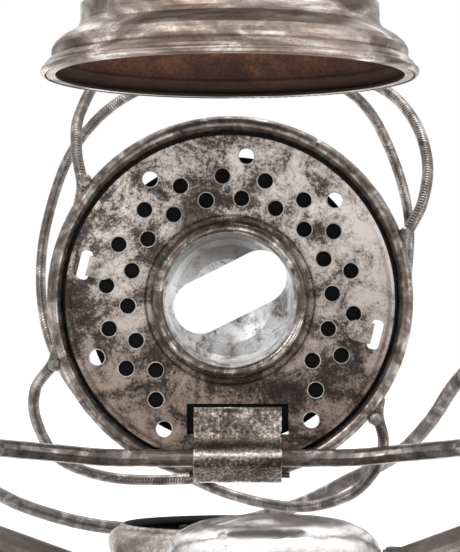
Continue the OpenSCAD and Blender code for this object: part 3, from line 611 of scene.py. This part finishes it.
def strap_mesh():
    line = [Vector(p) for p in strap_profile()]
    count, columns = len(line), 44
    verts, faces = [], []
    for face in (1, -1):
        for i, p in enumerate(line):
            along = (line[min(i + 1, count - 1)] - line[max(i - 1, 0)]).normalized()
            outward = Vector((along.y, -along.x))
            for k in range(columns + 1):
                x = STRAP_X + STRAP_W * (k / columns - 0.5)
                dent = STRAP_DENT * noise.noise(Vector((x * 0.35, i * 0.3, 2.0)))
                lip = LIP_LIFT * math.exp(-(i / LIP_ROWS) ** 2 - ((x - LIP_X) / LIP_HALF_WIDTH) ** 2)
                shift = outward * (face * STRAP_T / 2) + outward * (dent + lip)
                verts.append(Vector((x * MM, (p.x + shift.x) * MM, (p.y + shift.y) * MM)))
    wide = columns + 1
    half = count * wide
    for i in range(count - 1):
        for k in range(columns):
            a, b = i * wide + k, (i + 1) * wide + k
            faces.append((a, a + 1, b + 1, b))
            faces.append((half + a, half + b, half + b + 1, half + a + 1))
    for k in range(columns):
        a, b = k, (count - 1) * wide + k
        faces.append((a, half + a, half + a + 1, a + 1))
        faces.append((b, b + 1, half + b + 1, half + b))
    for i in range(count - 1):
        a, b = i * wide, (i + 1) * wide
        faces.append((a, b, half + b, half + a))
        faces.append((a + columns, half + a + columns, half + b + columns, b + columns))
    return add_mesh("strap", verts, faces)


strap = strap_mesh()
strap.data.materials.append(strap_material())
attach(strap, "basket")
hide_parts("hinge_strap")

# ---------- bright burrs round the plate's punched holes ----------

HOLE_R = 1.95
PLATE_R = 41.2
BURR_R = 0.13
BURR_OUT = 0.11
BURR_SINK = 0.02
BURR_WEAR = 0.25
# (angle in degrees, distance from the plate's middle): two rows of holes, and six more near the edge
HOLES = ([(323.5 + 20 * k, 25.6) for k in range(14)] + [(313.5 + 20 * k, 31.1) for k in range(15)]
         + [(angle, 36.25) for angle in (43.5, 83.5, 123.5, 203.5, 243, 304)])


def burr_mesh():
    verts, faces = [], []
    around, sides = 28, 6
    for angle, radius in HOLES:
        place = math.radians(angle)
        centre = Vector((radius * math.cos(place), -radius * math.sin(place), 0))
        start = len(verts)
        for i in range(around):
            a = 2 * math.pi * i / around
            spoke = Vector((math.cos(a), math.sin(a), 0))
            wear = 1 + BURR_WEAR * noise.noise(centre + 3 * spoke)
            for k in range(sides):
                b = 2 * math.pi * k / sides
                p = centre + spoke * (HOLE_R + BURR_OUT + BURR_R * wear * math.cos(b))
                p.z = BURR_R * wear * math.sin(b) - BURR_SINK
                verts.append(in_basket(p))
        for i in range(around):
            j = (i + 1) % around
            for k in range(sides):
                m = (k + 1) % sides
                faces.append((start + i * sides + k, start + i * sides + m, start + j * sides + m,
                              start + j * sides + k))
    return add_mesh("hole_burrs", verts, faces)


burrs = burr_mesh()
burrs.data.materials.append(burr_look)
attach(burrs, "basket")

# ---------- the plate's raised edge ----------

EDGE_R = PLATE_R - 0.75
EDGE_WIRE = 0.42
EDGE_BACK = 0.02
EDGE_STEP = 1.5  # degrees
HALF_STRAP = 15.5


def edge_line(first, last):
    count = round(abs(last - first) / EDGE_STEP)
    points = []
    for k in range(count + 1):
        a = math.radians(first + (last - first) * k / count)
        points.append(in_basket((EDGE_R * math.cos(a), -EDGE_R * math.sin(a), EDGE_BACK)))
    return points


strap_angle = math.degrees(math.asin(HALF_STRAP / EDGE_R))
edge = sweep("plate_edge", edge_line(270 + strap_angle, 630 - strap_angle), EDGE_WIRE * MM, 10)
edge.data.materials.append(burr_look)
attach(edge, "basket")

# ---------- filler cap: a spun dome with small dents, and a fluted skirt ----------

cap_low, cap_high = (Vector(c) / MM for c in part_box("filler_cap"))
CAP_X = (cap_low.x + cap_high.x) / 2
CAP_Y = (cap_low.y + cap_high.y) / 2
CAP_R = (cap_high.x - cap_low.x) / 2
CAP_FLUTES = 36
FLUTE_DEPTH = 0.45
FLUTED_TOP = 68
CAP_DENT = 0.22
CAP_RIPPLE = 0.07
CAP_SINK = 0.1


def cap_mesh():
    """The cap, turned from (radius, height) points down its outside and up its inside."""
    r = CAP_R
    outer = [(0.01, 77.55), (3, 77.5), (r - 15.7, 77.25), (r - 12, 76.9), (r - 8.9, 76.4),
             (r - 6.8, 75.85), (r - 4.9, 75.1), (r - 3.2, 74.2), (r - 1.9, 73.2), (r - 1.0, 72.2),
             (r - 0.5, 71.3), (r - 0.15, 70.2), (r, 69), (r, 68.2), (r, 67.4), (r, 66), (r, 63),
             (r, 60.8), (r - 0.1, 60.3), (r - 0.4, 60.05)]
    inner = [(r - 0.9, 60.05), (r - 1, 60.6), (r - 1, 69), (r - 2.6, 72.4), (r - 5.4, 74.2),
             (r - 9.2, 75.4), (r - 15.5, 76.4), (0.01, 76.7)]
    profile = outer + inner
    around = 216
    verts, faces = [], []
    for i, (radius, height) in enumerate(profile):
        for k in range(around):
            a = 2 * math.pi * k / around
            flute = 0.0
            if i < len(outer) and height < FLUTED_TOP:
                flute = FLUTE_DEPTH * (0.5 + 0.5 * math.cos(CAP_FLUTES * a)) ** 2
            dent = 0.0
            if i < len(outer) and height > FLUTED_TOP:
                place = Vector((radius * math.cos(a), radius * math.sin(a), height))
                dent = CAP_DENT * noise.noise(place * 0.22) + CAP_RIPPLE * noise.noise(place * 0.7)
                dent = min(dent, 0.0) if radius > r - 1 else dent - CAP_SINK
            size = max(radius - flute + (dent if radius > r - 1 else 0), 0.01)
            lift = dent if radius <= r - 1 else 0.0
            x, y = CAP_X + size * math.cos(a), CAP_Y + size * math.sin(a)
            verts.append(Vector((x, y, height + lift)) * MM)
    for i in range(len(profile) - 1):
        for k in range(around):
            m = (k + 1) % around
            faces.append((i * around + k, (i + 1) * around + k, (i + 1) * around + m, i * around + m))
    faces.append(tuple(range(around)))
    faces.append(tuple(reversed([(len(profile) - 1) * around + k for k in range(around)])))
    return add_mesh("cap_dome", verts, faces)


cap = cap_mesh()
cap.data.materials.append(tinned_bright)
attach(cap, "fuel_cap")
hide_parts("filler_cap")

# ---------- solder ----------

# where the guard wires' ends meet the ring, and the half sizes of the lump on each
WIRE_ENDS = ((43.9, 16.5), (36.4, -29.7), (-36.4, 29.8), (-44, -16))
LUMP_SIZE = (1.75, 1.6, 1.9)
LUMP_BULGE = 0.22


def blob(name, centre, size, body, seed, rows=10, around=16):
    """A small uneven lump, like cooled solder. centre and the three half sizes are in mm."""
    verts = [Vector(centre) * MM + Vector((0, 0, size[2])) * MM]
    for i in range(1, rows):
        tilt = math.pi * i / rows
        for k in range(around):
            turn = 2 * math.pi * k / around
            way = Vector((math.sin(tilt) * math.cos(turn), math.sin(tilt) * math.sin(turn), math.cos(tilt)))
            bulge = 1 + LUMP_BULGE * noise.noise(way * 1.7 + Vector((seed, 0, 0)))
            verts.append((Vector(centre) + Vector([w * s * bulge for w, s in zip(way, size)])) * MM)
    verts.append((Vector(centre) - Vector((0, 0, size[2]))) * MM)
    faces = [(0, 1 + k, 1 + (k + 1) % around) for k in range(around)]
    for i in range(rows - 2):
        for k in range(around):
            m = (k + 1) % around
            a, b = 1 + i * around, 1 + (i + 1) * around
            faces.append((a + k, b + k, b + m, a + m))
    last = 1 + (rows - 2) * around
    faces += [(last + k, len(verts) - 1, last + (k + 1) % around) for k in range(around)]
    obj = add_mesh(name, verts, faces)
    obj.data.materials.append(solder_look)
    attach(obj, body)
    return obj


for number, (x, y) in enumerate(WIRE_ENDS):
    spot = in_basket((x, -y, RING_BACK)) / MM
    lump = blob(f"ring_solder_{number}", spot, LUMP_SIZE, "basket", 3.0 + number)

# ---------- side tubes: the rolled seam along each, and solder where they meet chamber and drum ----------

tube_high = Vector(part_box("side_tube_right")[1]) / MM
TUBE_R = tube_high.y
TUBE_X = tube_high.x - TUBE_R
ARM_SLOPE = 19.7
ARM_CORNER_Z = 69.1
ARM_BEND_R = 12
CROWN_SLOPE = 20
CROWN_CORNER_Z = 226
CROWN_BEND_R = 16
SEAM_R = 0.35
SEAM_SINK = 0.12
SEAM_FROM_CHAMBER = 1.2
SEAM_FROM_DRUM = 1.0
SEAM_TURN = math.radians(28)
FILLET_OUT = 0.25
FILLET_R = 0.75
FILLET_WOBBLE = 0.25
CHAMBER_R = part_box("air_chamber")[1][0] / MM
CHAMBER_WALL_R = CHAMBER_R - 0.8
DRUM_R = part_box("crown_drum")[1][0] / MM
DRUM_WALL_R = DRUM_R - 0.6


def tube_line():
    """The middle of the right side tube in the XZ plane, in mm, from the air chamber up to the drum."""
    arm_tangent = ARM_BEND_R * math.tan(math.radians(90 - ARM_SLOPE) / 2)
    crown_tangent = CROWN_BEND_R * math.tan(math.radians(90 - CROWN_SLOPE) / 2)
    low = math.radians(ARM_SLOPE)
    high = math.radians(CROWN_SLOPE)
    start = (CHAMBER_R + SEAM_FROM_CHAMBER,
             ARM_CORNER_Z - (TUBE_X - CHAMBER_R - SEAM_FROM_CHAMBER) * math.tan(low))
    end = (DRUM_R + SEAM_FROM_DRUM, CROWN_CORNER_Z + (TUBE_X - DRUM_R - SEAM_FROM_DRUM) * math.tan(high))
    arm_bend = (TUBE_X - ARM_BEND_R, ARM_CORNER_Z + arm_tangent)
    crown_bend = (TUBE_X - CROWN_BEND_R, CROWN_CORNER_Z - crown_tangent)
    line = [start]
    line += arc_points(arm_bend, ARM_BEND_R, ARM_SLOPE - 90, 0, 12)
    line += arc_points(crown_bend, CROWN_BEND_R, 0, 90 - CROWN_SLOPE, 12)
    return [Vector(p) for p in line + [end]]


for side_name, side in SIDES:
    line = tube_line()
    seam = []
    for i, p in enumerate(line):
        along = (line[min(i + 1, len(line) - 1)] - line[max(i - 1, 0)]).normalized()
        inward = Vector((-along.y, along.x)) * math.sin(SEAM_TURN)
        reach = TUBE_R - SEAM_SINK
        seam.append(Vector((side * (p.x + reach * inward.x), -reach * math.cos(SEAM_TURN),
                            p.y + reach * inward.y)) * MM)
    ridge = sweep("tube_seam_" + side_name, seam, SEAM_R * MM, 8)
    ridge.data.materials.append(tinned_dark)
    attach(ridge, "frame")


def saddle(name, cylinder_r, slope, corner_z, side, seed):
    """The fillet of solder where a sloping tube meets an upright cylinder."""
    around = 64
    line = []
    for k in range(around):
        turn = 2 * math.pi * k / around
        reach = TUBE_R + FILLET_OUT
        y = reach * math.cos(turn)
        x = math.sqrt(cylinder_r ** 2 - y ** 2) + FILLET_OUT
        rise = reach * math.sin(turn) / math.cos(math.radians(abs(slope)))
        z = corner_z - (TUBE_X - x) * math.tan(math.radians(slope)) + rise
        line.append(Vector((side * x, y, z)) * MM)

    def uneven(along, turn):
        return (FILLET_R + FILLET_WOBBLE * noise.noise(Vector((along * 220, seed, 0)))) * MM

    fillet = sweep(name, line, uneven, 8, closed=True)
    fillet.data.materials.append(solder_look)
    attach(fillet, "frame")


for side_name, side in SIDES:
    saddle("arm_solder_" + side_name, CHAMBER_WALL_R, ARM_SLOPE, ARM_CORNER_Z, side, 1.5 + side)
    saddle("crown_solder_" + side_name, DRUM_WALL_R, -CROWN_SLOPE, CROWN_CORNER_Z, side, 6.5 + side)

# ---------- beads, seams and rivets of the tank, crown and cap ----------

FOUNT_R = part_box("fount_shell")[1][0] / MM
DRUM_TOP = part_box("crown_drum")[1][2] / MM
CAP_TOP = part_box("chimney_cap")[1][2] / MM
FOLD_R = 0.7


def hoop(name, radius, height, wire, body, look, wobble=0.0):
    """A rolled bead round the lantern's axis. Sizes are in mm."""
    around = 160
    turns = [2 * math.pi * k / around for k in range(around)]
    line = [Vector((radius * math.cos(a), radius * math.sin(a), height)) * MM for a in turns]

    def section(along, turn):
        return (wire + wobble * noise.noise(Vector((along * 60, height, 0)))) * MM

    bead = sweep(name, line, section, 10, closed=True, up=(0, 0, 1))
    bead.data.materials.append(look)
    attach(bead, body)


for number, height in enumerate((9.5, 24)):
    hoop(f"tank_bead_{number}", FOUNT_R - 0.75, height, 0.85, "frame", tinned)
hoop("tank_shoulder_bead", FOUNT_R - 9.6, 38.6, 0.7, "frame", tinned)
hoop("drum_bead", DRUM_R - 1.2, DRUM_TOP - 6, 0.8, "frame", tinned)
hoop("drum_solder", 33.4, DRUM_TOP + 0.7, 0.6, "frame", solder_look, 0.2)
for number, (radius, drop) in enumerate(((27.6, 5.6), (14.2, 1.8))):
    hoop(f"chimney_bead_{number}", radius, CAP_TOP - drop, 0.5, "frame", tinned)


def upright_seam(name, radius, angle, low, high, body, look):
    """A folded seam up the wall of a drum, half sunk in it. Sizes are in mm."""
    a = math.radians(angle)
    outward = Vector((math.cos(a), math.sin(a), 0))
    line = [(outward * (radius - FOLD_R / 2) + Vector((0, 0, low + (high - low) * k / 12))) * MM
            for k in range(13)]
    seam = sweep(name, line, FOLD_R * MM, 10)
    seam.data.materials.append(look)
    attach(seam, body)


upright_seam("tank_seam", FOUNT_R, 118, 4.2, 27.5, "frame", tinned_dark)
upright_seam("drum_seam", DRUM_WALL_R, 100, 226.5, DRUM_TOP - 3.6, "frame", tinned_dark)
upright_seam("chamber_seam", CHAMBER_WALL_R, 84, 45, 70, "frame", tinned_dark)

EAR_X = TUBE_X + 5.6
EAR_Y = -7.4
EAR_Z = joints["bail_swing"]["pos_m"][2] / MM
RIVET_R = 1.1
for side_name, side in SIDES:
    for number, drop in enumerate((-4, 4)):
        spot = (side * EAR_X, EAR_Y, EAR_Z + drop)
        rivet = blob(f"ear_rivet_{side_name}_{number}", spot, (RIVET_R,) * 3, "frame", 9.0 + number)

# ---------- the hood's spring: a coil of wire that moves with the hood ------

SPRING_TURNS = 11
POINTS_PER_TURN = 30
SPRING_WIRE = 0.6
SPRING_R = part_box("hood_spring")[1][0] / MM - SPRING_WIRE
spring_low, spring_high = (corner[2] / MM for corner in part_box("hood_spring"))
spring_length = spring_high - spring_low


def coil_line():
    steps = POINTS_PER_TURN * SPRING_TURNS
    first, rise = spring_low + SPRING_WIRE, spring_length - 2 * SPRING_WIRE
    line = []
    for k in range(steps + 1):
        turn = 2 * math.pi * SPRING_TURNS * k / steps
        height = first + rise * k / steps
        line.append(Vector((SPRING_R * math.cos(turn), SPRING_R * math.sin(turn), height)) * MM)
    return line


spring = sweep("spring_coil", coil_line(), SPRING_WIRE * MM, 10)
spring.data.materials.append(wire_look)
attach(spring, "hood")
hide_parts("hood_spring")
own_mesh(spring)

# ---------- wick: woven cotton with upright cords ----------

wick_low, wick_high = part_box("wick")
SLOT_TURN = math.radians(-26.5)
WICK_W, WICK_T = 22, 2.6
WICK_EDGE = 0.15
WICK_CORDS = 9
CORD_DEPTH = 0.28
CORD_SINK = 0.32
WEAVE_DEPTH = 0.05
FRAYED = 0.8  # the height of the thinner end
FRAY = 0.92


def wick_mesh():
    rows, half = 150, 54
    low, high = wick_low[2] / MM, wick_high[2] / MM
    outline = []
    for k in range(half):
        x = -WICK_W / 2 + WICK_EDGE + (WICK_W - 2 * WICK_EDGE) * k / (half - 1)
        cord = CORD_DEPTH * (0.5 - 0.5 * math.cos(2 * math.pi * WICK_CORDS * k / (half - 1)))
        outline.append((x, WICK_T / 2 - CORD_SINK + cord))
    outline += [(x, -y) for x, y in reversed(outline)]
    verts, faces = [], []
    for i in range(rows + 1):
        z = low + (high - low) * i / rows
        weave = WEAVE_DEPTH * math.cos(2 * math.pi * i / 3)
        fray = 1.0 if z < high - FRAYED else FRAY
        for x, y in outline:
            depth = (y + math.copysign(weave, y)) * fray
            top = 0.35 * noise.noise(Vector((x * 0.9, y, 4.0))) - 0.35 if i == rows else 0.0
            verts.append(Vector((x * math.cos(SLOT_TURN) - depth * math.sin(SLOT_TURN),
                                 x * math.sin(SLOT_TURN) + depth * math.cos(SLOT_TURN), z + top)) * MM)
    count = len(outline)
    for i in range(rows):
        for k in range(count):
            m = (k + 1) % count
            faces.append((i * count + k, i * count + m, (i + 1) * count + m, (i + 1) * count + k))
    for i, turn in ((0, -1), (rows, 1)):
        for k in range(half - 1):
            quad = [i * count + k, i * count + k + 1, i * count + count - 2 - k, i * count + count - 1 - k]
            faces.append(tuple(quad[::turn]))
    return add_mesh("wick_strip", verts, faces)


wick = wick_mesh()
wick.data.materials.append(wick_material())
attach(wick, "wick_strip")
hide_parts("wick")

# ---------- floor, light and camera ----------


def plain_material(name, colour, rough):
    look = Look(name, 0.0)
    cloud = look.noise(0.6, 2)
    tint = look.ramp(cloud, [(0.3, colour), (0.7, tuple(c * 0.985 for c in colour))])
    return look.finish(tint, look.span(cloud, 0, 1, rough, rough * 0.95))


FLOOR_R = 12.0
FLOOR_SIDES = 64
floor_turns = [2 * math.pi * k / FLOOR_SIDES for k in range(FLOOR_SIDES)]
floor = add_mesh("floor", [(FLOOR_R * math.cos(turn), FLOOR_R * math.sin(turn), 0) for turn in floor_turns],
                 [tuple(range(FLOOR_SIDES))], smooth=False)
floor.data.materials.append(plain_material("floor_paper", (0.93, 0.93, 0.93), 0.9))


def soft_light(name, place, target, size, watts):
    light = bpy.data.lights.new(name, "AREA")
    light.shape = "DISK"
    light.size = size
    light.energy = watts
    obj = bpy.data.objects.new(name, light)
    obj.location = place
    obj.rotation_euler = (Vector(target) - Vector(place)).to_track_quat("-Z", "Y").to_euler()
    bpy.context.scene.collection.objects.link(obj)


soft_light("key", (-0.45, -0.75, 0.75), (0, 0, 0.12), 0.5, 7)
soft_light("fill", (0.9, -0.6, 0.35), (0, 0, 0.12), 0.7, 4)
soft_light("top", (0.1, 0.1, 1.2), (0, 0, 0.1), 0.6, 6)

# The lantern sees a room that is darker in front and brighter behind and overhead; the camera sees white.
world = bpy.data.worlds.new("studio")
world.use_nodes = True
tree = world.node_tree
tree.nodes.clear()
direction = tree.nodes.new("ShaderNodeTexCoord").outputs["Generated"]
split = tree.nodes.new("ShaderNodeSeparateXYZ")
tree.links.new(direction, split.inputs["Vector"])
both = tree.nodes.new("ShaderNodeMath")
tree.links.new(map_range(tree, split.outputs["Y"], -0.8, 0.6, 0.3, 1.0), both.inputs[0])
tree.links.new(map_range(tree, split.outputs["Z"], 0.1, 1.0, 0.0, 1.25), both.inputs[1])
soft = tree.nodes.new("ShaderNodeBackground")
tree.links.new(both.outputs["Value"], soft.inputs["Color"])
white = tree.nodes.new("ShaderNodeBackground")
white.inputs["Color"].default_value = (1, 1, 1, 1)
path = tree.nodes.new("ShaderNodeLightPath")
blend = tree.nodes.new("ShaderNodeMixShader")
tree.links.new(path.outputs["Is Camera Ray"], blend.inputs["Fac"])
tree.links.new(soft.outputs["Background"], blend.inputs[1])
tree.links.new(white.outputs["Background"], blend.inputs[2])
sky = tree.nodes.new("ShaderNodeOutputWorld")
tree.links.new(blend.outputs["Shader"], sky.inputs["Surface"])
bpy.context.scene.world = world
bpy.context.scene.view_settings.view_transform = "Standard"

CAMERA_DISTANCE = 0.519
CAMERA_HEIGHT = 0.110
CAMERA_PITCH = 2.06
FOCAL_LENGTH = 176.1
camera_data = bpy.data.cameras.new("camera")
camera_data.sensor_fit = "HORIZONTAL"
camera_data.sensor_width = 36
camera_data.lens = FOCAL_LENGTH
camera_data.clip_start = 0.01
camera = bpy.data.objects.new("camera", camera_data)
camera.location = (0, -CAMERA_DISTANCE, CAMERA_HEIGHT)
camera.rotation_euler = (math.radians(90 + CAMERA_PITCH), 0, 0)
bpy.context.scene.collection.objects.link(camera)
bpy.context.scene.camera = camera
